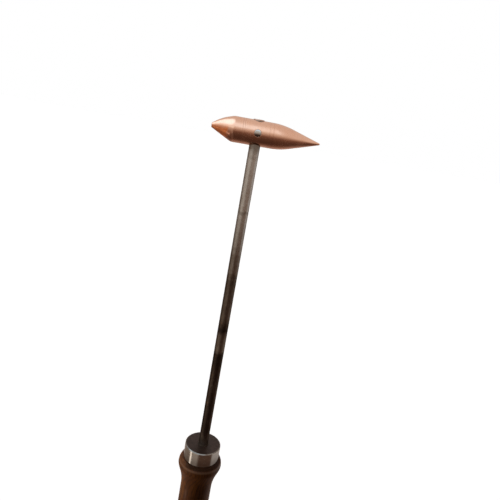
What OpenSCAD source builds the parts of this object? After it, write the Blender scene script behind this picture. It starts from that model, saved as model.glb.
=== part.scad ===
// Hammer-pattern soldering copper: a turned copper bit, pointed at one end and
// short-coned at the other, cross-pinned to a round steel shank. The shank runs
// through a turned steel cap ferrule into a turned wooden handle.
//
// Frame: origin at the centre of the handle's flat butt, +Z up the shank to the
// bit, +X along the bit to its long point, -Y to the front. Millimetres.

/* [Whole tool] */
// Height of the bit's axis above the butt
bit_height = 390; // [330:1:450]
// Length of the wooden handle from the butt to the ferrule
handle_len = 122.5; // [110:0.5:135]

/* [Copper bit] */
// Diameter of the bit's round body
bit_d = 18; // [16:0.5:25]
// Length of the full-diameter body on the blunt side of the shank
body_blunt = 17.6; // [14:0.1:24]
// Length of the full-diameter body on the pointed side of the shank
body_point = 17.7; // [14:0.1:24]
// Half angle of the short blunt cone, in degrees
blunt_half_angle = 27; // [22:0.5:35]
// Diameter of the small flat on the blunt cone's tip
blunt_tip_d = 3; // [2:0.1:5]
// Half angle of the long cone, in degrees
point_half_angle = 16.8; // [14:0.1:22]
// Radius of the long point's rounded tip
point_tip_r = 0.7; // [0.3:0.1:1.0]
// Radius that blends the body into the blunt cone
blunt_blend_r = 7; // [3:0.5:12]
// Radius that blends the body into the long cone
point_blend_r = 50; // [10:1:60]
// Diameter of the cross pin through the bit and the shank
pin_d = 5; // [3:0.5:5]

/* [Shank] */
// Diameter of the round steel shank
shank_d = 8; // [7:0.5:10]
// Height of the shank's end above the top of the bit
shank_proud = 0.4; // [0.2:0.1:1.5]
// Chamfer on the shank's top end
shank_chamfer = 0.3; // [0.1:0.1:0.5]
// Depth of the tang below the top of the handle's spigot
tang_depth = 70; // [40:1:80]

/* [Ferrule] */
// Outside diameter of the steel cap ferrule
ferrule_d = 29.4; // [27:0.1:32]
// Height of the ferrule
ferrule_h = 12.5; // [11:0.5:16]
// Thickness of the ferrule's side wall
ferrule_wall = 2; // [1.5:0.1:3]
// Thickness of the ferrule's top
ferrule_top = 2.5; // [2:0.1:4]
// Chamfer round the ferrule's top edge
ferrule_chamfer = 0.6; // [0.3:0.1:1]
// Radial clearance between the ferrule's hole and the shank
ferrule_gap = 0.05; // [0.02:0.01:0.1]
// Countersink at the mouth of the ferrule's hole
ferrule_sink = 0.6; // [0.3:0.1:0.8]

/* [Handle] */
// Diameter of the bead under the ferrule
bead_d = 36; // [34:0.1:40]
// Diameter of the waist below the bead
waist_d = 26.2; // [24:0.1:28]
// Largest diameter of the palm swell
palm_d = 33.6; // [30:0.1:38]
// Height of the palm swell's widest place above the butt
palm_height = 38; // [32:1:44]
// Diameter of the flat on the butt
butt_flat_d = 21; // [18:0.5:24]

/* [Hidden] */
$fn = 128;
// Straight pieces in each curved stretch of an outline.
curve_steps = 14;
// Extra length that takes a cutter clear through a face.
through = 1;

bit_r = bit_d / 2;
shank_r = shank_d / 2;
pin_r = pin_d / 2;
ferrule_r = ferrule_d / 2;
spigot_r = ferrule_r - ferrule_wall;
spigot_h = ferrule_h - ferrule_top;
spigot_chamfer = 0.8;
// Edge between the blunt tip's flat and its cone.
blunt_tip_edge = 0.3;
// How far the handle's side has turned in, and its height, where the rounded butt begins.
butt_round = 2.2;
edge_z = 6.5;
// Height of the waist's lower end, and the distances of its upper end and of the
// bead's widest place below the ferrule.
waist_low = 77;
waist_drop = 28;
bead_drop = 6.2;
// Step of wood that shows round the ferrule.
shoulder_step = 0.1;
blunt_tip_r = blunt_tip_d / 2;
ferrule_z = handle_len;
ferrule_top_z = ferrule_z + ferrule_h;
spigot_top_z = ferrule_z + spigot_h;
shank_top_z = bit_height + bit_r + shank_proud;
tang_end_z = spigot_top_z - tang_depth;
// Cone at the tang's end, which matches the drill's point in the handle.
tang_point_h = shank_r / tan(59);
// Where the blunt cone's side reaches the flat tip.
blunt_tip_x = -body_blunt - (bit_r - blunt_tip_r) / tan(blunt_half_angle);
// Where the long cone's sides would meet, beyond the rounded tip.
point_apex_x = body_point + bit_r / tan(point_half_angle);
point_ball_x = point_apex_x - point_tip_r / sin(point_half_angle);

// Point at t along the cubic curve with end points a and d and handles b and c.
function cubic(a, b, c, d, t) =
    pow(1 - t, 3) * a + 3 * pow(1 - t, 2) * t * b + 3 * (1 - t) * t * t * c + pow(t, 3) * d;

// The curve as points, leaving out its first, which the stretch before it ends on.
function curve(a, b, c, d) = [for (i = [1:curve_steps]) cubic(a, b, c, d, i / curve_steps)];

// Points on an arc of radius r about [cx, cy], from one angle to another.
function arc(cx, cy, r, from, to) =
    [for (i = [0:curve_steps]) let (a = from + (to - from) * i / curve_steps)
        [cx + r * cos(a), cy + r * sin(a)]];

// Outline of the bit as [radius, distance along the bit] from the blunt tip to the point.
function bit_outline() =
    let (
        blunt_back = blunt_blend_r * tan(blunt_half_angle / 2),
        point_back = point_blend_r * tan(point_half_angle / 2)
    )
    concat(
        [
            [0, blunt_tip_x],
            [blunt_tip_r - blunt_tip_edge, blunt_tip_x],
            [blunt_tip_r, blunt_tip_x + blunt_tip_edge]
        ],
        arc(bit_r - blunt_blend_r, -body_blunt + blunt_back, blunt_blend_r, -blunt_half_angle, 0),
        arc(bit_r - point_blend_r, body_point - point_back, point_blend_r, 0, point_half_angle),
        arc(0, point_ball_x, point_tip_r, point_half_angle, 90)
    );

// Outline of the handle as [radius, height], from the centre of the butt up to the
// spigot that the ferrule covers.
function handle_outline() =
    let (
        bead_r = bead_d / 2,
        waist_r = waist_d / 2,
        palm_r = palm_d / 2,
        flat_r = butt_flat_d / 2,
        edge_r = palm_r - butt_round,
        waist_high = handle_len - waist_drop,
        bead_z = handle_len - bead_drop,
        shoulder_r = ferrule_r + shoulder_step
    )
    concat(
        [[0, 0], [flat_r, 0]],
        // Each curve's two middle points are handles, which set how full it is.
        curve([flat_r, 0], [flat_r + 2.4, 0], [edge_r - 0.6, 2.4], [edge_r, edge_z]),
        curve([edge_r, edge_z], [edge_r + 1, 14], [palm_r, 24], [palm_r, palm_height]),
        curve([palm_r, palm_height], [palm_r, 56], [waist_r, 61], [waist_r, waist_low]),
        [[waist_r, waist_high]],
        curve([waist_r, waist_high], [waist_r, waist_high + 12.3], [bead_r, bead_z - 3], [bead_r, bead_z]),
        curve(
            [bead_r, bead_z],
            [bead_r, bead_z + 2.9],
            [shoulder_r + 2, handle_len - 0.9],
            [shoulder_r, handle_len]
        ),
        [
            [spigot_r, handle_len],
            [spigot_r, spigot_top_z - spigot_chamfer],
            [spigot_r - spigot_chamfer, spigot_top_z],
            [0, spigot_top_z]
        ]
    );

// A turned shape about +X at the height of the bit.
module along_bit() {
    translate([0, 0, bit_height]) rotate([0, 90, 0]) rotate_extrude() polygon(bit_outline());
}

// The cross pin's cylinder, front to back through the bit's axis.
module pin_shape() {
    translate([0, 0, bit_height]) rotate([90, 0, 0])
        cylinder(r = pin_r, h = bit_d + 2 * through, center = true);
}

// The shank's cylinder, with its chamfered top and pointed tang.
module shank_shape() {
    translate([0, 0, tang_end_z]) rotate_extrude() polygon([
        [0, 0],
        [shank_r, tang_point_h],
        [shank_r, shank_top_z - tang_end_z - shank_chamfer],
        [shank_r - shank_chamfer, shank_top_z - tang_end_z],
        [0, shank_top_z - tang_end_z]
    ]);
}

module handle() {
    color("#5a3320") difference() {
        rotate_extrude() polygon(handle_outline());
        // Blind hole for the tang, with the drill's pointed end.
        translate([0, 0, tang_end_z]) rotate_extrude() polygon([
            [0, 0],
            [shank_r, tang_point_h],
            [shank_r, tang_depth + through],
            [0, tang_depth + through]
        ]);
    }
}

module ferrule() {
    hole_r = shank_r + ferrule_gap;
    color("#a39a90") translate([0, 0, ferrule_z]) rotate_extrude() polygon([
        [spigot_r, 0],
        [ferrule_r, 0],
        [ferrule_r, ferrule_h - ferrule_chamfer],
        [ferrule_r - ferrule_chamfer, ferrule_h],
        [hole_r + ferrule_sink, ferrule_h],
        [hole_r, ferrule_h - ferrule_sink],
        [hole_r, spigot_h],
        [spigot_r, spigot_h]
    ]);
}

module shank() {
    color("#6b6056") difference() {
        shank_shape();
        pin_shape();
    }
}

module copper_bit() {
    color("#c98463") difference() {
        along_bit();
        translate([0, 0, bit_height]) cylinder(r = shank_r, h = bit_d + 2 * through, center = true);
        pin_shape();
    }
}

// The pin's two ends are dressed flush with the bit's round body.
module bit_pin() {
    color("#8d8a86") intersection() {
        pin_shape();
        translate([0, 0, bit_height]) rotate([0, 90, 0]) cylinder(r = bit_r, h = bit_d, center = true);
    }
}

handle();
ferrule();
shank();
copper_bit();
bit_pin();
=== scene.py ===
"""Looks of the soldering copper: a copper bit on a steel shank, a cap ferrule and a turned handle.

Every piece is built here as its own mesh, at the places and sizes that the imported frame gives.
Lengths are in metres; the constants of each shape are in millimetres times MM.
"""

import math

import bmesh
import bpy
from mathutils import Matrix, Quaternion, Vector, noise


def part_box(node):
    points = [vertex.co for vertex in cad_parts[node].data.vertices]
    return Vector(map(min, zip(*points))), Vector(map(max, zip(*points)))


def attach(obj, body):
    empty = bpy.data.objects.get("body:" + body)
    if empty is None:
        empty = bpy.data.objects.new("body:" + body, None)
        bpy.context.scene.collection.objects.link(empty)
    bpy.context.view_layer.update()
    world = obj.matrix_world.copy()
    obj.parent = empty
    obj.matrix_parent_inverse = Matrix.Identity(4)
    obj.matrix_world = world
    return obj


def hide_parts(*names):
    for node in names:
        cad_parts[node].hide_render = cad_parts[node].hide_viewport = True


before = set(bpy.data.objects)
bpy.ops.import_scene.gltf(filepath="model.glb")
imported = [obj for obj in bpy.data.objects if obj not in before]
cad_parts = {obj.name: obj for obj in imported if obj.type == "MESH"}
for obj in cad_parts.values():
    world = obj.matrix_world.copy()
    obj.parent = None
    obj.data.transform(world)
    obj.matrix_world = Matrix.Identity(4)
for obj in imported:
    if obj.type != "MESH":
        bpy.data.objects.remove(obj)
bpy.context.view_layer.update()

MM = 0.001

# ---------------------------------------------------------------- places, from the frame

BIT_LOW, BIT_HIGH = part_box("copper_bit")
PIN_LOW, PIN_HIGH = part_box("bit_pin")
SHANK_LOW, SHANK_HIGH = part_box("shank")
FERRULE_LOW, FERRULE_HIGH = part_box("ferrule")
HANDLE_LOW, HANDLE_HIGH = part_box("handle")

BIT_R = (BIT_HIGH.z - BIT_LOW.z) / 2
BIT_Z = (BIT_HIGH.z + BIT_LOW.z) / 2
PIN_R = (PIN_HIGH.x - PIN_LOW.x) / 2
SHANK_R = (SHANK_HIGH.x - SHANK_LOW.x) / 2
FERRULE_R = (FERRULE_HIGH.x - FERRULE_LOW.x) / 2
BEAD_R = (HANDLE_HIGH.x - HANDLE_LOW.x) / 2

X_AXIS = Vector((1, 0, 0))
Y_AXIS = Vector((0, 1, 0))
Z_AXIS = Vector((0, 0, 1))

# ---------------------------------------------------------------- outlines


def arc(centre, radius, start, end, steps):
    """Points on an arc about centre, with both ends; angles in degrees."""
    angles = [math.radians(start + (end - start) * i / steps) for i in range(steps + 1)]
    return [(centre[0] + radius * math.cos(a), centre[1] + radius * math.sin(a)) for a in angles]


def cubic(a, b, c, d, steps):
    """Points on a cubic curve from a to d with handles b and c, without its first."""
    points = []
    for i in range(1, steps + 1):
        t = i / steps
        shares = ((1 - t) ** 3, 3 * (1 - t) ** 2 * t, 3 * (1 - t) * t * t, t**3)
        points.append(tuple(sum(w * p for w, p in zip(shares, places)) for places in zip(a, b, c, d)))
    return points


def softened(corners, steps=4):
    """An outline from (radius, height, rounding) corners, with an arc in place of each rounded one."""
    points = []
    for i, (x, y, rounding) in enumerate(corners):
        corner = Vector((x, y))
        if rounding <= 0 or i in (0, len(corners) - 1):
            points.append((x, y))
            continue
        before = (Vector(corners[i - 1][:2]) - corner).normalized()
        after = (Vector(corners[i + 1][:2]) - corner).normalized()
        half = before.angle(after) / 2
        reach = rounding / math.tan(half)
        centre = corner + (before + after).normalized() * (rounding / math.sin(half))
        start = corner + before * reach - centre
        end = corner + after * reach - centre
        first = math.atan2(start.y, start.x)
        sweep = math.remainder(math.atan2(end.y, end.x) - first, 2 * math.pi)
        points += arc(centre, rounding, math.degrees(first), math.degrees(first + sweep), steps)
    return points


def spaced(points, gap):
    """The outline with extra points, so that none are further apart than gap."""
    dense = [points[0]]
    for p, q in zip(points, points[1:]):
        length = math.dist(p, q)
        count = max(1, math.ceil(length / gap))
        dense += [tuple(a + (b - a) * k / count for a, b in zip(p, q)) for k in range(1, count + 1)]
    return dense


# ---------------------------------------------------------------- meshes


class Shell:
    """A mesh built from rings of vertices that are joined by strips of faces."""

    def __init__(self):
        self.points = []
        self.faces = []

    def add(self, point):
        self.points.append(tuple(point))
        return len(self.points) - 1

    def ring(self, points):
        return [self.add(p) for p in points]

    def strip(self, a, b):
        """Faces between two closed rings of the same length, or from a ring to a single point."""
        n = max(len(a), len(b))
        for i in range(n):
            j = (i + 1) % n
            corners = [a[i % len(a)], a[j % len(a)], b[j % len(b)], b[i % len(b)]]
            self.faces.append(list(dict.fromkeys(corners)))

    def strips(self, rings):
        for a, b in zip(rings, rings[1:]):
            self.strip(a, b)

    def piece(self, name, material):
        mesh = bpy.data.meshes.new(name)
        mesh.from_pydata(self.points, [], self.faces)
        tidy = bmesh.new()
        tidy.from_mesh(mesh)
        bmesh.ops.recalc_face_normals(tidy, faces=tidy.faces)
        tidy.to_mesh(mesh)
        tidy.free()
        mesh.shade_smooth()
        mesh.materials.append(material)
        obj = bpy.data.objects.new(name, mesh)
        bpy.context.scene.collection.objects.link(obj)
        return obj


def turned(outline, segments, uneven=None):
    """A shell turned about Z from (radius, height) points; radii of 0 close it at a point.

    uneven(angle, height) is taken off the radius.
    """
    shell = Shell()
    rings = []
    for r, z in outline:
        if r <= 0:
            rings.append([shell.add((0, 0, z))])
            continue
        ring = []
        for k in range(segments):
            a = 2 * math.pi * k / segments
            rr = r - (uneven(a, z) if uneven else 0)
            ring.append(shell.add((rr * math.cos(a), rr * math.sin(a), z)))
        rings.append(ring)
    shell.strips(rings)
    return shell, rings


# ---------------------------------------------------------------- material building blocks


class Nodes:
    """Short names for the shader nodes that the materials and the studio are made of."""

    def __init__(self, tree, place_output):
        self.tree = tree
        self.place = tree.nodes.new("ShaderNodeTexCoord").outputs[place_output]

    def put(self, socket, value):
        if isinstance(value, bpy.types.NodeSocket):
            self.tree.links.new(value, socket)
        else:
            socket.default_value = value

    def math(self, operation, a, b=0.0, c=0.0):
        node = self.tree.nodes.new("ShaderNodeMath")
        node.operation = operation
        for socket, value in zip(node.inputs, (a, b, c)):
            self.put(socket, value)
        return node.outputs[0]

    def axis(self, name, vector=None):
        node = self.tree.nodes.new("ShaderNodeSeparateXYZ")
        self.put(node.inputs[0], vector or self.place)
        return node.outputs[name]

    def moved(self, offset=(0, 0, 0), scale=(1, 1, 1), vector=None):
        node = self.tree.nodes.new("ShaderNodeMapping")
        self.put(node.inputs["Vector"], vector or self.place)
        self.put(node.inputs["Location"], offset)
        self.put(node.inputs["Scale"], scale)
        return node.outputs[0]

    def noise(self, vector, scale=1.0, detail=2.0, rough=0.5, distortion=0.0):
        node = self.tree.nodes.new("ShaderNodeTexNoise")
        self.put(node.inputs["Vector"], vector)
        self.put(node.inputs["Scale"], scale)
        self.put(node.inputs["Detail"], detail)
        self.put(node.inputs["Roughness"], rough)
        self.put(node.inputs["Distortion"], distortion)
        return node.outputs[0]

    def line_noise(self, value, scale, detail=2.0, rough=0.5):
        """Noise along one value only, as for rings round a turned piece."""
        node = self.tree.nodes.new("ShaderNodeTexNoise")
        node.noise_dimensions = "1D"
        self.put(node.inputs["W"], value)
        self.put(node.inputs["Scale"], scale)
        self.put(node.inputs["Detail"], detail)
        self.put(node.inputs["Roughness"], rough)
        return node.outputs[0]

    def step(self, value, low, high, to_low=0.0, to_high=1.0):
        """A smooth change from to_low to to_high as value goes from low to high."""
        node = self.tree.nodes.new("ShaderNodeMapRange")
        node.interpolation_type = "SMOOTHSTEP"
        for socket, v in zip(node.inputs, (value, low, high, to_low, to_high)):
            self.put(socket, v)
        return node.outputs[0]

    def band(self, value, centre, half, soft):
        """1 within half of centre, falling to 0 over soft."""
        away = self.math("ABSOLUTE", self.math("SUBTRACT", value, centre))
        return self.step(away, half, half + soft, 1.0, 0.0)

    def ramp(self, value, stops):
        """A colour or grey ramp from (place, value) stops."""
        node = self.tree.nodes.new("ShaderNodeValToRGB")
        elements = node.color_ramp.elements
        while len(elements) < len(stops):
            elements.new(0.5)
        for element, (place, colour) in zip(elements, stops):
            element.position = place
            element.color = (*colour, 1) if isinstance(colour, tuple) else (colour, colour, colour, 1)
        self.put(node.inputs[0], value)
        return node.outputs[0]

    def mix(self, factor, a, b, blend="MIX"):
        node = self.tree.nodes.new("ShaderNodeMix")
        node.data_type = "RGBA"
        node.blend_type = blend
        self.put(node.inputs["Factor"], factor)
        for name, value in (("A", a), ("B", b)):
            socket = [s for s in node.inputs if s.name == name and s.type == "RGBA"][0]
            self.put(socket, (*value, 1) if isinstance(value, tuple) else value)
        return [s for s in node.outputs if s.type == "RGBA"][0]

    def product(self, a, b):
        return self.math("MULTIPLY", a, b)

    def centred(self, value, amount):
        """A noise value about 0, times an amount."""
        return self.math("MULTIPLY", self.math("SUBTRACT", value, 0.5), amount)

    def bump(self, height, distance, strength=1.0, under=None):
        node = self.tree.nodes.new("ShaderNodeBump")
        self.put(node.inputs["Height"], height)
        self.put(node.inputs["Distance"], distance)
        self.put(node.inputs["Strength"], strength)
        if under:
            self.put(node.inputs["Normal"], under)
        return node.outputs[0]


class Material(Nodes):
    """The nodes of one piece's material, in the object's own coordinates."""

    def __init__(self, name):
        self.material = bpy.data.materials.new(name)
        self.material.use_nodes = True
        super().__init__(self.material.node_tree, "Object")

    def finish(self, **sockets):
        """Sets or links the shader's sockets, named with _ for each space, and gives the material."""
        shader = self.tree.nodes["Principled BSDF"]
        for name, value in sockets.items():
            socket = shader.inputs[name.replace("_", " ")]
            self.put(socket, (*value, 1) if isinstance(value, tuple) and len(value) == 3 else value)
        return self.material


# ---------------------------------------------------------------- materials

# Deeper lathe rings: place along the bit, half of the groove's flat width, and its soft edge.
DEEP_RINGS = (
    (-10.6 * MM, 0.10 * MM, 0.30 * MM), (-9.2 * MM, 0.08 * MM, 0.28 * MM),
    (8.3 * MM, 0.08 * MM, 0.28 * MM), (11.0 * MM, 0.08 * MM, 0.28 * MM),
)
COPPER = (0.87, 0.51, 0.365)
COPPER_ORANGE = (0.82, 0.40, 0.23)
COPPER_BROWN = (0.42, 0.19, 0.12)
CONE_ORANGE = (0.80, 0.26, 0.10)
CONE_EDGE_BROWN = (0.36, 0.14, 0.08)


def lower_cone_tint(n, local):
    """How much of an orange tint, and of a darker brown edge next to the body, the lower side of the
    blunt cone has; both are stronger on its front.
    """
    drift = n.noise(n.moved(offset=(0.1, 0.2, 0), vector=local), 240, 3, 0.6)
    wander = n.centred(drift, 5 * MM)
    reach = n.math("ADD", n.axis("X"), wander)
    level = n.math("ADD", n.axis("Z", local), n.product(wander, 0.5))
    facing = n.step(n.axis("Y"), 6.0 * MM, -2.0 * MM, 0.35, 1.0)
    below = n.product(n.step(level, 2.2 * MM, -1.4 * MM), facing)
    tinted = n.product(below, n.step(reach, -19.6 * MM, -21.8 * MM))
    edge = n.band(reach, -19.2 * MM, 1.0 * MM, 1.8 * MM)
    dark_edge = n.product(n.product(n.step(level, 1.0 * MM, -3.0 * MM), edge), facing)
    return tinted, dark_edge


def copper_material():
    n = Material("turned_copper")
    along = n.axis("X")
    local = n.moved(offset=(0, 0, -BIT_Z))
    patches = n.noise(local, 130, 4, 0.55)
    stains = n.noise(n.moved(offset=(0.3, 0, 0), vector=local), 320, 6, 0.65, 0.6)
    colour = n.mix(n.step(patches, 0.42, 0.66, 0.0, 0.35), COPPER, COPPER_ORANGE)
    colour = n.mix(n.step(stains, 0.56, 0.74, 0.0, 0.22), colour, COPPER_BROWN)
    # The lower side of the blunt cone gets an orange tint and a darker brown edge next to the body.
    tinted, dark_edge = lower_cone_tint(n, local)
    colour = n.mix(tinted, colour, CONE_ORANGE)
    colour = n.mix(n.product(dark_edge, 0.85), colour, CONE_EDGE_BROWN)
    # Fine rings from the lathe, and a few deeper ones.
    rings = n.line_noise(along, 1500, 3, 0.6)
    coarse = n.line_noise(along, 420, 2, 0.5)
    turning = n.math("ADD", rings, n.product(coarse, 1.4))
    grooves = [n.band(along, place, half, soft) for place, half, soft in DEEP_RINGS]
    groove = grooves[0]
    for other in grooves[1:]:
        groove = n.math("MAXIMUM", groove, other)
    colour = n.mix(n.product(groove, 0.30), colour, COPPER_BROWN)
    colour = n.mix(n.step(rings, 0.55, 0.75, 0.0, 0.14), colour, COPPER_BROWN)
    rough = n.math("ADD", n.step(patches, 0.35, 0.65, 0.14, 0.28), n.step(stains, 0.5, 0.8, 0.0, 0.08))
    rough = n.math("ADD", rough, n.product(tinted, 0.18))
    dents = n.noise(n.moved(scale=(1, 0.5, 0.5), vector=local), 170, 2, 0.5)
    marks = n.bump(turning, 0.006 * MM, 0.5)
    marks = n.bump(dents, 0.12 * MM, 0.24, marks)
    marks = n.bump(n.product(groove, -1.0), 0.04 * MM, 0.7, marks)
    return n.finish(Base_Color=colour, Metallic=1.0, Roughness=rough, Normal=marks)


# Place from the ferrule (0) to the bit (1), and how bare the steel is there. The heat scale is thick
# low down, thickest in a band a third of the way up, and thins out towards the bit.
SCALE_ALONG = (
    (0.00, 0.52), (0.025, 0.36), (0.05, 0.06), (0.12, 0.15), (0.28, 0.20), (0.305, 0.00),
    (0.335, 0.00), (0.352, 0.40), (0.405, 0.38), (0.42, 0.14), (0.47, 0.36), (0.59, 0.27),
    (0.605, 0.42), (0.67, 0.46), (0.69, 0.74), (0.78, 0.78), (0.80, 0.88), (0.97, 1.00), (1.00, 0.55),
)
# Darker rings in the scale, and at 373 mm painted shade just under the bit: height, and how much darker.
SCALE_RINGS_AND_SHADE = (
    (239 * MM, 0.10), (284 * MM, 0.12), (305 * MM, 0.10), (333 * MM, 0.24), (373 * MM, 0.16),
)
# Colours from thick scale to bare steel.
SCALE_COLOURS = (
    (0.0, (0.036, 0.025, 0.020)), (0.18, (0.062, 0.042, 0.032)), (0.45, (0.185, 0.145, 0.115)),
    (0.75, (0.38, 0.345, 0.31)), (1.0, (0.56, 0.52, 0.48)),
)
SHANK_RUST = (0.20, 0.105, 0.055)
COPPER_FILM = (0.60, 0.385, 0.30)


def shank_material():
    n = Material("heat_blackened_steel")
    up = n.axis("Z")
    streaks = n.noise(n.moved(scale=(1, 1, 0.10)), 900, 5, 0.6)
    grain = n.noise(n.moved(scale=(1, 1, 0.45)), 1100, 4, 0.65)
    blotch = n.noise(n.moved(scale=(1, 1, 0.5)), 110, 4, 0.6)
    height = n.math("ADD", up, n.centred(n.noise(n.place, 160, 3, 0.6), 6 * MM))
    above = n.math("SUBTRACT", height, FERRULE_HIGH.z)
    tone = n.ramp(n.math("DIVIDE", above, BIT_LOW.z - FERRULE_HIGH.z), SCALE_ALONG)
    tone = n.math("ADD", tone, n.math("MULTIPLY_ADD", n.math("SUBTRACT", blotch, 0.5), 0.45, 0.03))
    # The scale's darker rings, and painted shade just under the bit.
    for place, depth in SCALE_RINGS_AND_SHADE:
        ring = n.band(height, place, 0.7 * MM, 1.2 * MM)
        tone = n.math("SUBTRACT", tone, n.product(ring, depth))
    tone = n.math("ADD", tone, n.centred(streaks, 0.30))
    tone = n.math("ADD", tone, n.centred(grain, 0.40))
    colour = n.ramp(tone, SCALE_COLOURS)
    rust = n.noise(n.moved(offset=(0.2, 0.4, 0.1)), 260, 4, 0.6)
    colour = n.mix(n.step(rust, 0.58, 0.70, 0.0, 0.35), colour, SHANK_RUST)
    # Film from the hot copper covers the bar's end.
    film = n.step(up, SHANK_HIGH.z - 1.0 * MM, SHANK_HIGH.z - 0.6 * MM)
    colour = n.mix(film, colour, COPPER_FILM)
    rough = n.math("ADD", n.step(tone, 0.0, 1.0, 0.36, 0.27), n.centred(grain, 0.2))
    marks = n.bump(streaks, 0.02 * MM, 0.5)
    marks = n.bump(grain, 0.03 * MM, 0.5, marks)
    return n.finish(
        Base_Color=colour, Metallic=n.step(tone, 0.0, 0.5, 0.85, 1.0), Roughness=rough, Normal=marks,
        Specular_Tint=(0.40, 0.37, 0.34),
    )


FERRULE_STEEL = (0.58, 0.535, 0.49)
FERRULE_STAIN = (0.30, 0.235, 0.17)
FERRULE_BEVEL = (0.105, 0.073, 0.058)
FERRULE_LOW_TONE = (0.11, 0.085, 0.065)
FILM_BROWN = (0.056, 0.028, 0.019)
FILM_BLACK = (0.036, 0.017, 0.011)


def distance_from(n, x_offset=0.0, y_offset=0.0):
    """Distance from an upright line that stands off the piece's axis by the two offsets."""
    x = n.math("SUBTRACT", n.axis("X"), x_offset)
    y = n.math("SUBTRACT", n.axis("Y"), y_offset)
    return n.math("SQRT", n.math("ADD", n.math("POWER", x, 2.0), n.math("POWER", y, 2.0)))


def ferrule_material():
    n = Material("turned_steel")
    up = n.axis("Z")
    radius = distance_from(n)
    mottle = n.noise(n.place, 330, 5, 0.6)
    stain = n.noise(n.moved(offset=(0.7, 0.1, 0)), 150, 4, 0.6)
    colour = n.mix(n.step(stain, 0.50, 0.72, 0.0, 0.6), FERRULE_STEEL, FERRULE_STAIN)
    rim = (FERRULE_R - 0.75 * MM, FERRULE_R - 0.60 * MM)
    bevel = n.product(n.step(up, FERRULE_HIGH.z - 0.66 * MM, FERRULE_HIGH.z - 0.54 * MM),
                      n.step(radius, *rim))
    colour = n.mix(n.product(bevel, n.step(mottle, 0.3, 0.7, 0.9, 0.6)), colour, FERRULE_BEVEL)
    # The ferrule grows darker from a little under its top down to its bottom.
    lower_half_dark = n.step(up, FERRULE_HIGH.z - 3.5 * MM, FERRULE_LOW.z + 1.5 * MM, 0.0, 0.45)
    colour = n.mix(lower_half_dark, colour, FERRULE_LOW_TONE)
    # The flat top keeps a dark film that the turned edge and side don't have.
    film = n.mix(n.step(mottle, 0.40, 0.62), FILM_BROWN, FILM_BLACK)
    flat = n.product(n.step(up, FERRULE_HIGH.z - 0.20 * MM, FERRULE_HIGH.z - 0.05 * MM),
                     n.step(radius, *rim, 1.0, 0.0))
    colour = n.mix(flat, colour, film)
    rings = n.math("ADD", n.line_noise(up, 5200, 3, 0.6), n.line_noise(radius, 4200, 3, 0.6))
    rough = n.math("ADD", n.step(mottle, 0.35, 0.7, 0.12, 0.19), n.product(flat, 0.25))
    metal = n.math("SUBTRACT", 1.0, n.product(flat, 0.45))
    marks = n.bump(rings, 0.004 * MM, 0.5)
    return n.finish(Base_Color=colour, Metallic=metal, Roughness=rough, Normal=marks)


PIN_STEEL = (0.62, 0.60, 0.575)
PIN_DULL = (0.47, 0.435, 0.40)
PIN_LOWER_TONE = (0.19, 0.15, 0.125)


def pin_material():
    n = Material("filed_steel")
    scratch = n.noise(n.moved(scale=(0.12, 1, 1.0)), 3200, 3, 0.6)
    mottle = n.noise(n.place, 700, 4, 0.6)
    colour = n.mix(n.step(mottle, 0.4, 0.7), PIN_STEEL, PIN_DULL)
    # The lower half of the pin's ends is darker.
    pin_lower_dark = n.step(n.axis("Z"), BIT_Z - 0.1 * MM, BIT_Z - 1.3 * MM)
    colour = n.mix(pin_lower_dark, colour, PIN_LOWER_TONE)
    rough = n.step(mottle, 0.3, 0.7, 0.11, 0.18)
    marks = n.bump(scratch, 0.008 * MM, 0.4)
    return n.finish(Base_Color=colour, Metallic=1.0, Roughness=rough, Normal=marks)


# Height of the bead's crest, just under the ferrule.
BEAD_CREST = 119.2 * MM
# The tree's pith, off to one side of the handle, how many growth rings there are to a metre, and by
# how many rings slow noise bends them.
PITH_X = 31 * MM
PITH_Y = 17 * MM
RINGS_PER_METRE = 520.0
RING_BEND = 9.0
WALNUT_DARK = (0.125, 0.038, 0.009)
WALNUT_LIGHT = (0.255, 0.082, 0.014)
WALNUT_LATE = (0.050, 0.015, 0.006)
WALNUT_FIBRE = (0.055, 0.018, 0.008)
WALNUT_PORE = (0.012, 0.005, 0.003)
WALNUT_PAINTED_HIGHLIGHT = (0.40, 0.19, 0.095)
WALNUT_PAINTED_SHADE = (0.016, 0.007, 0.005)


def bead_highlight_and_shade(n):
    """How much painted highlight lies along the bead's crest, and how much painted shade on the wood
    above it, just under the ferrule.
    """
    height = n.math("ADD", n.axis("Z"), n.product(n.noise(n.place, 60, 2, 0.5), 0.8 * MM))
    crest_highlight = n.band(height, BEAD_CREST + 0.4 * MM, 0.35 * MM, 0.8 * MM)
    above = n.step(height, BEAD_CREST + 0.9 * MM, BEAD_CREST + 2.4 * MM)
    # The painted shade under the ferrule fades out towards the lit left side.
    ferrule_shade = n.product(above, n.step(n.axis("X"), -15 * MM, -8 * MM))
    return crest_highlight, ferrule_shade


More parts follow.
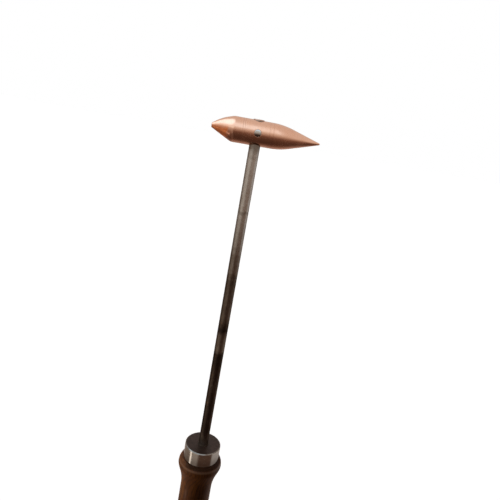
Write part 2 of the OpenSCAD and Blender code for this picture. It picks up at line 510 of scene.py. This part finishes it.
def walnut_material():
    n = Material("oiled_walnut")
    # Growth rings are cylinders about the pith, bent by slow noise.
    bend = n.noise(n.moved(scale=(1, 1, 0.25)), 30, 3, 0.5)
    across = n.product(distance_from(n, PITH_X, PITH_Y), RINGS_PER_METRE)
    growth = n.math("FRACT", n.math("ADD", across, n.product(bend, RING_BEND)))
    late = n.step(growth, 0.55, 0.97)
    fibre = n.noise(n.moved(scale=(1, 1, 0.035)), 1500, 4, 0.6)
    pores = n.noise(n.moved(offset=(0.05, 0.02, 0.4), scale=(1, 1, 0.05)), 3400, 2, 0.5)
    pore = n.step(pores, 0.60, 0.72)
    cloud = n.noise(n.moved(scale=(1, 1, 0.4)), 75, 3, 0.6)
    colour = n.mix(n.step(cloud, 0.35, 0.68), WALNUT_DARK, WALNUT_LIGHT)
    colour = n.mix(n.product(late, 0.50), colour, WALNUT_LATE)
    colour = n.mix(n.step(fibre, 0.42, 0.68, 0.0, 0.3), colour, WALNUT_FIBRE)
    colour = n.mix(n.product(pore, 0.75), colour, WALNUT_PORE)
    crest_highlight, ferrule_shade = bead_highlight_and_shade(n)
    # Painted highlight along the bead's crest.
    colour = n.mix(n.product(crest_highlight, 0.40), colour, WALNUT_PAINTED_HIGHLIGHT)
    # Painted shade on the wood just under the ferrule, left out on the lit left side.
    colour = n.mix(n.product(ferrule_shade, 0.72), colour, WALNUT_PAINTED_SHADE)
    rough = n.math("ADD", n.step(cloud, 0.3, 0.7, 0.34, 0.46), n.product(pore, 0.15))
    rough = n.math("ADD", rough, n.product(ferrule_shade, 0.25))
    oil = n.math("ADD", n.math("MULTIPLY_ADD", ferrule_shade, -0.11, 0.12), n.product(crest_highlight, 0.42))
    marks = n.bump(n.product(pore, -1.0), 0.03 * MM, 0.5)
    marks = n.bump(n.noise(n.place, 120, 3, 0.5), 0.25 * MM, 0.15, marks)
    return n.finish(
        Base_Color=colour, Roughness=rough, Normal=marks,
        Coat_Weight=oil, Coat_Roughness=0.12, Specular_IOR_Level=0.12,
    )


# ---------------------------------------------------------------- the copper bit

# Full-diameter body either side of the shank, cone half angles and blends, as the CAD has them.
BODY_BLUNT = 17.6 * MM
BODY_POINT = 17.7 * MM
BLUNT_ANGLE = 27.0
POINT_ANGLE = 16.8
BLUNT_TIP_R = 1.5 * MM
BLUNT_EDGE = 0.3 * MM
BLUNT_ROUND = 0.25 * MM
POINT_TIP_R = 0.7 * MM
BLUNT_BLEND = 7.0 * MM
POINT_BLEND = 50.0 * MM
# How much the upper side of the blunt cone stands out past a true cone.
FULLNESS = 1.1 * MM
# The bit is a net of quads; every drilled hole takes the place of a square patch of it. PATCH is
# half the patch's side in quads, and PATCH_REACH half its length along the bit.
BIT_SEGMENTS = 96
NET_GAP = 0.6 * MM
PATCH = 9
PATCH_REACH = 5.4 * MM
# Bores and the rounding of their mouths. The small clearance shows as a fine dark line.
PIN_BORE = PIN_R + 0.03 * MM
PIN_HOLE_RIM = 0.10 * MM
SHANK_BORE = SHANK_R + 0.05 * MM
SHANK_HOLE_RIM = 0.35 * MM
CROSSING_RIM = 0.02 * MM
# Half the height of the patches round the pin's bore, inside the shank's bore, and of that bore's net.
CROSSING_REACH = 3.4 * MM
BORE_REACH = 6.2 * MM
# A ring round a hole has as many vertices as its patch's border, and starts at a corner of it.
LOOP = 8 * PATCH
CORNER = math.radians(45)
RING_START = math.radians(-135)
HALF_DEGREE = math.radians(0.5)


def bit_outline():
    """The two cones as (radius, distance along the bit): blunt tip to body, and body to point."""
    tan_blunt = math.tan(math.radians(BLUNT_ANGLE))
    tip_x = -BODY_BLUNT - (BIT_R - BLUNT_TIP_R) / tan_blunt
    apex_x = BODY_POINT + BIT_R / math.tan(math.radians(POINT_ANGLE))
    ball_x = apex_x - POINT_TIP_R / math.sin(math.radians(POINT_ANGLE))
    blunt_back = BLUNT_BLEND * math.tan(math.radians(BLUNT_ANGLE / 2))
    point_back = POINT_BLEND * math.tan(math.radians(POINT_ANGLE / 2))
    edge_x = tip_x + BLUNT_EDGE
    tip = softened([
        (0, tip_x, 0), (BLUNT_TIP_R - BLUNT_EDGE, tip_x, BLUNT_ROUND),
        (BLUNT_TIP_R, edge_x, BLUNT_ROUND), (BLUNT_TIP_R + tan_blunt * MM, edge_x + MM, 0),
    ], 3)[:-1]
    blunt = arc((BIT_R - BLUNT_BLEND, blunt_back - BODY_BLUNT), BLUNT_BLEND, -BLUNT_ANGLE, 0, 12)
    point = arc((BIT_R - POINT_BLEND, BODY_POINT - point_back), POINT_BLEND, 0, POINT_ANGLE, 16)
    ball = arc((0, ball_x), POINT_TIP_R, POINT_ANGLE, 90, 6)
    return spaced(tip + blunt, NET_GAP), spaced(point + ball, NET_GAP)


def smooth(value, low, high):
    """0 at low and 1 at high, with a smooth change between them."""
    t = min(max((value - low) / (high - low), 0.0), 1.0)
    return t * t * (3 - 2 * t)


def bit_point(x, r, angle):
    """A point of the bit; angle 0 faces front (-Y), and 90 degrees faces up.

    The upper side of the blunt cone was dressed a little fuller than the lower side.
    """
    fuller = FULLNESS * smooth(x, -17 * MM, -25 * MM) * (1 - 0.55 * smooth(x, -27 * MM, -33 * MM))
    r += fuller * (0.5 + 0.5 * math.sin(angle)) ** 2 * min(r / BLUNT_TIP_R, 1.0)
    return (x, -r * math.cos(angle), BIT_Z + r * math.sin(angle))


def drilled_patch(shell, border, to_point, hole_r, rim, loops):
    """Rings from a patch's border to a hole's rounded rim; returns the ring inside the hole.

    to_point(u, v, depth) gives the place at u, v across the hole, depth below the surface.
    """
    flat = [to_point.flat(shell.points[index]) for index in border]
    first = math.atan2(flat[0][1], flat[0][0])
    start = CORNER + 2 * CORNER * round((first - CORNER) / (2 * CORNER))
    turn = 1 if flat[0][0] * flat[1][1] > flat[0][1] * flat[1][0] else -1
    way = [start + turn * 2 * math.pi * k / LOOP for k in range(LOOP)]
    rings = [border]
    for step in range(1, loops + 1):
        t = step / loops
        points = []
        for (u, v), a in zip(flat, way):
            rim_u = (hole_r + rim) * math.cos(a)
            rim_v = (hole_r + rim) * math.sin(a)
            points.append(to_point(u + (rim_u - u) * t, v + (rim_v - v) * t, 0))
        rings.append(shell.ring(points))
    for k in range(1, 5):
        bend = math.radians(90 * k / 4)
        r = hole_r + rim * (1 - math.sin(bend))
        depth = rim * (1 - math.cos(bend))
        rings.append(shell.ring([to_point(r * math.cos(a), r * math.sin(a), depth) for a in way]))
    shell.strips(rings)
    return rings[-1]


class Across:
    """Places on a round body of radius r, seen along one direction across it.

    depth goes into the body, so it takes away from the radius; in a bore (into=1) it adds to it.
    """

    def __init__(self, r, toward, along, centre, into=-1):
        self.r = r
        self.toward = toward
        self.along = along
        self.centre = centre
        self.into = into
        self.side = along.cross(toward)

    def flat(self, point):
        p = Vector(point) - self.centre
        return p.dot(self.along), p.dot(self.side)

    def __call__(self, u, v, depth):
        out = math.sqrt(self.r**2 - v**2) + self.into * depth
        return self.centre + self.along * u + self.side * v + self.toward * out


def net_border(net, rows, columns):
    """The vertices round a patch of a net, once round, from its first corner."""
    top, bottom = rows
    left, right = columns
    width = len(net[0])
    border = [net[top][c % width] for c in range(left, right)]
    border += [net[r][right % width] for r in range(top, bottom)]
    border += [net[bottom][c % width] for c in range(right, left, -1)]
    border += [net[r][left % width] for r in range(bottom, top, -1)]
    return border


def net_faces(shell, net, patches):
    """Quads of a closed net, leaving out its patches of (rows, columns)."""
    width = len(net[0])
    for i in range(len(net) - 1):
        for j in range(width):
            inside = False
            for (top, bottom), (left, right) in patches:
                if top <= i < bottom and (j - left) % width < right - left:
                    inside = True
            if not inside:
                k = (j + 1) % width
                shell.faces.append([net[i][j], net[i][k], net[i + 1][k], net[i + 1][j]])


def copper_bit(material):
    shell = Shell()
    left, right = bit_outline()
    step = PATCH_REACH / PATCH
    middle = [(BIT_R, step * k) for k in range(-PATCH, PATCH + 1)]
    body_left = spaced([left[-1], middle[0]], step)[1:-1]
    body_right = spaced([middle[-1], right[0]], step)[1:-1]
    outline = left + body_left + middle + body_right + right
    first = outline.index(middle[0])
    angles = [2 * math.pi * k / BIT_SEGMENTS for k in range(BIT_SEGMENTS)]
    net = [shell.ring([bit_point(x, r, a) for a in angles]) for r, x in outline[1:-1]]
    rows = (first - 1, first - 1 + 2 * PATCH)
    centre = Vector((0, 0, BIT_Z))
    quarter = BIT_SEGMENTS // 4
    # Round the bit from the front, as the angles of bit_point go.
    sides = (
        ("front", -Y_AXIS, PIN_BORE, PIN_HOLE_RIM), ("top", Z_AXIS, SHANK_BORE, SHANK_HOLE_RIM),
        ("back", Y_AXIS, PIN_BORE, PIN_HOLE_RIM), ("bottom", -Z_AXIS, SHANK_BORE, SHANK_HOLE_RIM),
    )
    holes = {}
    patches = []
    for turn, (name, toward, bore, rim) in enumerate(sides):
        columns = (turn * quarter - PATCH, turn * quarter + PATCH)
        patches.append((rows, columns))
        border = net_border(net, rows, columns)
        holes[name] = drilled_patch(shell, border, Across(BIT_R, toward, X_AXIS, centre), bore, rim, 4)
    net_faces(shell, net, patches)
    for ring, end in ((net[0], outline[0]), (net[-1], outline[-1])):
        shell.strip(ring, [shell.add((end[1], 0, BIT_Z))])
    drill_crossing(shell, holes, centre)
    return shell.piece("bit", material)


def by_angle(shell, ring, u_axis, v_axis, centre):
    """A ring's vertices in order of angle about the hole, from the one at RING_START."""

    def angle(index):
        p = Vector(shell.points[index]) - centre
        return (math.atan2(p.dot(v_axis), p.dot(u_axis)) - RING_START + HALF_DEGREE) % (2 * math.pi)

    return sorted(ring, key=angle)


def drill_crossing(shell, holes, centre):
    """The shank's bore from top to bottom, with the pin's bore through its two sides."""
    top = by_angle(shell, holes["top"], X_AXIS, Y_AXIS, centre)
    bottom = by_angle(shell, holes["bottom"], X_AXIS, Y_AXIS, centre)
    heights = [CROSSING_REACH * (1 - k / PATCH) for k in range(2 * PATCH + 1)]
    angles = [RING_START + 2 * math.pi * k / LOOP for k in range(LOOP)]
    around = [(SHANK_BORE * math.cos(a), SHANK_BORE * math.sin(a)) for a in angles]
    net = [top]
    for h in [BORE_REACH, *heights, -BORE_REACH]:
        net.append(shell.ring([(x, y, BIT_Z + h) for x, y in around]))
    net.append(bottom)
    rows = (2, 2 + 2 * PATCH)
    patches = []
    for name, toward, start in (("front", -Y_AXIS, 0), ("back", Y_AXIS, LOOP // 2)):
        columns = (start, start + 2 * PATCH)
        patches.append((rows, columns))
        border = net_border(net, rows, columns)
        place = Across(SHANK_BORE, toward, Z_AXIS, centre, 1)
        inner = drilled_patch(shell, border, place, PIN_BORE, CROSSING_RIM, 2)
        outer = by_angle(shell, holes[name], X_AXIS, Z_AXIS, centre)
        shell.strip(by_angle(shell, inner, X_AXIS, Z_AXIS, centre), outer)
    net_faces(shell, net, patches)


# ---------------------------------------------------------------- the cross pin

PIN_CHAMFER = 0.10 * MM
PIN_DOME = 0.05 * MM
PIN_RINGS = (0.12, 0.30, 0.50, 0.70, 0.85, 0.94)


def pin_end(shell, toward):
    """One domed end with a rounded edge, dressed to the round of the bit; returns its last ring."""
    centre = Vector((0, 0, BIT_Z))
    place = Across(BIT_R, toward, X_AXIS, centre)
    angles = [2 * math.pi * k / LOOP for k in range(LOOP)]
    sizes = [((PIN_R - PIN_CHAMFER) * share, 0) for share in PIN_RINGS]
    for k in range(5):
        bend = math.radians(90 * k / 4)
        sizes.append((PIN_R - PIN_CHAMFER * (1 - math.sin(bend)), PIN_CHAMFER * (1 - math.cos(bend))))
    rings = [[shell.add(place(0, 0, 0))]]
    for r, drop in sizes:
        depth = PIN_DOME * (r / PIN_R) ** 2 + drop
        rings.append(shell.ring([place(r * math.cos(a), r * math.sin(a), depth) for a in angles]))
    shell.strips(rings)
    return by_angle(shell, rings[-1], X_AXIS, Z_AXIS, centre)


def bit_pin(material):
    shell = Shell()
    shell.strip(pin_end(shell, -Y_AXIS), pin_end(shell, Y_AXIS))
    return shell.piece("pin", material)


# ---------------------------------------------------------------- the shank

SHANK_TOP_EDGE = 0.45 * MM
TANG_CORNER = 0.3 * MM
# The tang is drill-pointed: its cone's side is 31 degrees from flat.
TANG_POINT = math.tan(math.radians(31)) * SHANK_R
# How deep the bar's unevenness goes, and how many waves it has to a metre, slow and quick.
BAR_WAVER = 0.045 * MM
SLOW_WAVES = 110
QUICK_WAVES = 420


def shank_piece(material):
    """Round bar, slightly uneven where it is bare, with a pointed tang and a softened top edge."""
    outline = softened([
        (0, SHANK_LOW.z, 0), (SHANK_R, SHANK_LOW.z + TANG_POINT, TANG_CORNER),
        (SHANK_R, SHANK_HIGH.z, SHANK_TOP_EDGE), (0, SHANK_HIGH.z, 0),
    ], 6)

    def uneven(angle, z):
        if z > BIT_LOW.z - MM or z < FERRULE_HIGH.z + MM:
            return 0.0
        at = Vector((0.9 * math.cos(angle), 0.9 * math.sin(angle), z * SLOW_WAVES))
        slow = noise.noise(at)
        at.z = z * QUICK_WAVES
        return BAR_WAVER * (0.5 + 0.35 * slow + 0.15 * noise.noise(at))

    shell, _ = turned(spaced(outline, 1.5 * MM), 72, uneven)
    return shell.piece("shank_bar", material)


# ---------------------------------------------------------------- the ferrule

FERRULE_WALL = 2.0 * MM
FERRULE_TOP = 2.5 * MM
FERRULE_CHAMFER = 0.6 * MM
FERRULE_SINK = 0.6 * MM
FERRULE_BORE = SHANK_R + 0.05 * MM
# The rounding of its sharp edges.
FERRULE_EDGE = 0.10 * MM


def ferrule_piece(material):
    """A cap with a countersunk hole, turned from an outline that starts and ends inside its wall."""
    low = FERRULE_LOW.z
    high = FERRULE_HIGH.z
    inner = FERRULE_R - FERRULE_WALL
    under_top = high - FERRULE_TOP
    start = (inner, under_top - 3 * MM, 0)
    outline = softened([
        start,
        (inner, low, 0.15 * MM),
        (FERRULE_R, low, 0.30 * MM),
        (FERRULE_R, high - FERRULE_CHAMFER, 0.12 * MM),
        (FERRULE_R - FERRULE_CHAMFER, high, FERRULE_EDGE),
        (FERRULE_BORE + FERRULE_SINK, high, FERRULE_EDGE),
        (FERRULE_BORE, high - FERRULE_SINK, FERRULE_EDGE),
        (FERRULE_BORE, under_top, FERRULE_EDGE),
        (inner, under_top, 0.20 * MM),
        start,
    ], 5)
    shell, rings = turned(spaced(outline[:-1], 0.8 * MM), 128)
    shell.strip(rings[-1], rings[0])
    return shell.piece("cap_ferrule", material)


# ---------------------------------------------------------------- the handle

WAIST_R = 13.1 * MM
PALM_R = 16.8 * MM
PALM_Z = 38.0 * MM
BUTT_FLAT_R = 10.5 * MM
BUTT_EDGE_R = PALM_R - 2.2 * MM
BUTT_EDGE_Z = 6.5 * MM
WAIST_LOW = 77.0 * MM
WAIST_HIGH = FERRULE_LOW.z - 28.0 * MM
BEAD_Z = FERRULE_LOW.z - 6.2 * MM
SHOULDER_R = FERRULE_R + 0.1 * MM
SPIGOT_R = FERRULE_R - FERRULE_WALL
SPIGOT_CHAMFER = 0.8 * MM


def handle_outline():
    """From the bottom of the tang's bore, up and over the spigot, and down the outside to the butt.

    The outside is cubic curves; the two middle points of each are its handles.
    """
    shoulder_z = FERRULE_LOW.z
    spigot_z = HANDLE_HIGH.z
    shoulder = (SHOULDER_R, shoulder_z)
    bead = (BEAD_R, BEAD_Z)
    waist_high = (WAIST_R, WAIST_HIGH)
    waist_low = (WAIST_R, WAIST_LOW)
    palm = (PALM_R, PALM_Z)
    butt_edge = (BUTT_EDGE_R, BUTT_EDGE_Z)
    butt = (BUTT_FLAT_R, 0)
    points = [(0, SHANK_LOW.z), (SHANK_R, SHANK_LOW.z + TANG_POINT), (SHANK_R, spigot_z)]
    points += [(SPIGOT_R - SPIGOT_CHAMFER, spigot_z), (SPIGOT_R, spigot_z - SPIGOT_CHAMFER)]
    points += [(SPIGOT_R, shoulder_z), shoulder]
    above_bead = (FERRULE_R + 2.1 * MM, shoulder_z - 0.9 * MM)
    points += cubic(shoulder, above_bead, (BEAD_R, BEAD_Z + 2.9 * MM), bead, 20)
    below_bead = (BEAD_R, BEAD_Z - 3 * MM)
    points += cubic(bead, below_bead, (WAIST_R, WAIST_HIGH + 12.3 * MM), waist_high, 32)
    points += [waist_low]
    points += cubic(waist_low, (WAIST_R, 61 * MM), (PALM_R, 56 * MM), palm, 32)
    points += cubic(palm, (PALM_R, 24 * MM), (BUTT_EDGE_R + MM, 14 * MM), butt_edge, 24)
    to_butt = (BUTT_EDGE_R - 0.6 * MM, 2.4 * MM)
    points += cubic(butt_edge, to_butt, (BUTT_FLAT_R + 2.4 * MM, 0), butt, 16)
    points += [(BUTT_FLAT_R * 0.5, 0), (0, 0)]
    return points


def handle_piece(material):
    shell, _ = turned(spaced(handle_outline(), 1.2 * MM), 128)
    return shell.piece("turned_handle", material)


# ---------------------------------------------------------------- studio

# The camera's place from the middle of the bit, and its turns in degrees.
CAMERA_FROM_BIT = Vector((-24.6, -338.2, -1.3)) * MM
CAMERA_YAW = 5.83
CAMERA_PITCH = -13.78
CAMERA_ROLL = 10.24
CAMERA_LENS = 33.55
FLOOR_HALF = 30.0


def add_camera():
    data = bpy.data.cameras.new("camera")
    data.lens = CAMERA_LENS
    data.sensor_width = 36.0
    data.clip_start = 0.01
    data.clip_end = 100.0
    camera = bpy.data.objects.new("camera", data)
    bpy.context.scene.collection.objects.link(camera)
    yaw = math.radians(CAMERA_YAW)
    pitch = math.radians(CAMERA_PITCH)
    look = Vector((math.sin(yaw) * math.cos(pitch), math.cos(yaw) * math.cos(pitch), math.sin(pitch)))
    roll = Quaternion((0, 0, 1), math.radians(CAMERA_ROLL))
    camera.rotation_mode = "QUATERNION"
    camera.rotation_quaternion = look.to_track_quat("-Z", "Y") @ roll
    camera.location = Vector((0, 0, BIT_Z)) + CAMERA_FROM_BIT
    bpy.context.scene.camera = camera


def add_softbox(name, location, target, size, power):
    data = bpy.data.lights.new(name, "AREA")
    data.shape = "RECTANGLE"
    data.size, data.size_y = size
    data.energy = power
    light = bpy.data.objects.new(name, data)
    light.location = location
    light.rotation_euler = (Vector(target) - Vector(location)).to_track_quat("-Z", "Y").to_euler()
    # Reflections show the painted studio only.
    light.visible_glossy = False
    bpy.context.scene.collection.objects.link(light)


def add_floor():
    shell = Shell()
    corners = ((-1, -1), (1, -1), (1, 1), (-1, 1))
    shell.faces.append(shell.ring([(x * FLOOR_HALF, y * FLOOR_HALF, 0) for x, y in corners]))
    material = Material("pale_floor").finish(
        Base_Color=(0.90, 0.90, 0.90), Roughness=0.9, Emission_Color=(1, 1, 1), Emission_Strength=0.87,
    )
    floor = shell.piece("floor", material)
    floor.location.z = -0.2 * MM
    # The floor shows in the picture, but the pieces are lit by and reflect the painted studio.
    floor.visible_glossy = False
    floor.visible_diffuse = False


# The studio is painted on the sky all round. A ramp goes by height, from 0 straight down to 1
# straight up. A zone is two bands: round from the front towards the left, in radians, and up, from
# -1 to 1. A band is its centre, half of its width, and its soft edge.
FRONT_RAMP = (
    (0.00, (0.060, 0.032, 0.023)), (0.165, (0.092, 0.052, 0.036)), (0.25, (0.12, 0.070, 0.050)),
    (0.342, (0.155, 0.084, 0.058)), (0.42, (0.26, 0.18, 0.14)), (0.50, (0.43, 0.34, 0.28)),
    (0.60, (0.64, 0.60, 0.55)), (0.66, (0.74, 0.70, 0.66)), (1.00, (0.74, 0.72, 0.70)),
)
BACK_RAMP = (
    (0.00, (0.25, 0.15, 0.11)), (0.14, (0.42, 0.34, 0.31)), (0.30, (0.46, 0.41, 0.38)),
    (0.50, (0.53, 0.49, 0.46)), (0.78, (0.70, 0.67, 0.64)), (1.00, (0.72, 0.70, 0.68)),
)
LEFT_WALL = (1.0, 0.46, 0.34)
LEFT_WALL_RAMP = (
    (0.00, (0.12, 0.075, 0.055)), (0.19, (0.32, 0.27, 0.235)), (0.22, (0.46, 0.39, 0.33)),
    (0.375, (0.47, 0.40, 0.34)), (0.50, (0.60, 0.53, 0.47)), (0.625, (0.74, 0.70, 0.64)),
)
RIGHT_WALL = ((-1.85, 0.52, 0.20), (-0.30, 0.32, 0.12))
RIGHT_WALL_RAMP = (
    (0.185, (0.29, 0.26, 0.245)), (0.205, (0.54, 0.49, 0.46)), (0.26, (0.62, 0.57, 0.54)),
    (0.32, (0.50, 0.46, 0.44)),
)
DIM_CORNER = ((2.05, 0.40, 0.30), (-0.40, 0.30, 0.20))
CORNER_COLOUR = (0.24, 0.19, 0.155)
WINDOW = ((0.85, 1.28, 0.08), (0.64, 0.12, 0.24))
WINDOW_COLOUR = (1.06, 1.24, 1.38)
SILL = ((0.75, 0.35, 0.30), (0.34, 0.10, 0.16))
SILL_COLOUR = (0.98, 1.06, 1.08)
# The way to the brightest part of the window.
WINDOW_TOWARD = (-0.56, -0.20, 0.80)
BRIGHTEST_COLOUR = (1.45, 1.85, 2.15)
LOW_STRIP = ((1.27, 0.04, 0.10), (-0.61, 0.06, 0.07))
STRIP_COLOUR = (2.0, 1.88, 1.75)
# What lights matt surfaces: soft light from the left, and a weak fill from behind on the right.
SOFT_LIGHT = ((1.76, 0.32, 0.50), (-0.12, 0.25, 0.45))
SOFT_COLOUR = (2.30, 2.12, 1.86)
FILL_LIGHT = ((-2.45, 0.45, 0.45), (0.10, 0.50, 0.40))
FILL_COLOUR = (0.60, 0.57, 0.54)
UNLIT_COLOUR = (0.034, 0.033, 0.036)


class Sky(Nodes):
    """The world's nodes, with the directions that its zones and ramps go by."""

    def __init__(self, tree):
        super().__init__(tree, "Generated")
        self.height = self.axis("Z")
        self.up = self.math("MULTIPLY_ADD", self.height, 0.5, 0.5)
        left = self.product(self.axis("X"), -1.0)
        front = self.product(self.axis("Y"), -1.0)
        self.round_left = self.math("ARCTAN2", left, front)

    def zone(self, round_band, height_band):
        return self.product(self.band(self.round_left, *round_band), self.band(self.height, *height_band))

    def nearness(self, toward):
        """The cosine of the angle from one direction."""
        node = self.tree.nodes.new("ShaderNodeVectorMath")
        node.operation = "DOT_PRODUCT"
        self.put(node.inputs[0], self.place)
        self.put(node.inputs[1], Vector(toward).normalized())
        return node.outputs["Value"]


def room_seen_in_reflections(sky):
    """Dim in front below eye level, lighter behind, with two walls, and a window on the left."""
    behind = sky.step(sky.axis("Y"), -0.25, 0.75)
    room = sky.mix(behind, sky.ramp(sky.up, FRONT_RAMP), sky.ramp(sky.up, BACK_RAMP))
    below_window = sky.step(sky.height, 0.45, 0.28)
    left_wall = sky.product(sky.band(sky.round_left, *LEFT_WALL), below_window)
    room = sky.mix(left_wall, room, sky.ramp(sky.up, LEFT_WALL_RAMP))
    room = sky.mix(sky.zone(*RIGHT_WALL), room, sky.ramp(sky.up, RIGHT_WALL_RAMP))
    room = sky.mix(sky.zone(*DIM_CORNER), room, CORNER_COLOUR)
    room = sky.mix(sky.zone(*WINDOW), room, WINDOW_COLOUR)
    room = sky.mix(sky.zone(*SILL), room, SILL_COLOUR)
    room = sky.mix(sky.step(sky.nearness(WINDOW_TOWARD), 0.80, 0.975), room, BRIGHTEST_COLOUR)
    return sky.mix(sky.zone(*LOW_STRIP), room, STRIP_COLOUR)


def light_on_matt_surfaces(sky):
    lit = sky.mix(sky.zone(*SOFT_LIGHT), UNLIT_COLOUR, SOFT_COLOUR)
    return sky.mix(sky.zone(*FILL_LIGHT), lit, FILL_COLOUR)


def add_world():
    """The room to reflections, soft light to matt surfaces, and white to the camera."""
    world = bpy.data.worlds.new("studio")
    world.use_nodes = True
    world.cycles.sampling_method = "NONE"
    tree = world.node_tree
    tree.nodes.clear()
    sky = Sky(tree)
    ray = tree.nodes.new("ShaderNodeLightPath")
    room = room_seen_in_reflections(sky)
    seen = sky.mix(ray.outputs["Is Diffuse Ray"], room, light_on_matt_surfaces(sky))
    seen = sky.mix(ray.outputs["Is Camera Ray"], seen, (1.0, 1.0, 1.0))
    background = tree.nodes.new("ShaderNodeBackground")
    sky.put(background.inputs["Color"], seen)
    output = tree.nodes.new("ShaderNodeOutputWorld")
    tree.links.new(background.outputs[0], output.inputs["Surface"])
    bpy.context.scene.world = world


def add_studio():
    add_camera()
    add_world()
    add_floor()
    middle = Vector((0, 0, 0.25))
    add_softbox("key_left", (-1.15, -0.35, 1.15), middle, (0.9, 1.2), 0.8)
    add_softbox("top", (0.1, -0.3, 1.7), middle, (1.2, 1.2), 0.3)
    view = bpy.context.scene.view_settings
    view.view_transform = "Standard"
    view.look = "None"


# ---------------------------------------------------------------- assembly

add_studio()

PIECES = (
    (copper_bit(copper_material()), "copper_bit", "copper"),
    (bit_pin(pin_material()), "bit_pin", "pin_steel"),
    (shank_piece(shank_material()), "shank", "black_steel"),
    (ferrule_piece(ferrule_material()), "ferrule", "turned_steel"),
    (handle_piece(walnut_material()), "handle", "walnut"),
)
for piece, node, slot in PIECES:
    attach(piece, "root")
    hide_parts(node)
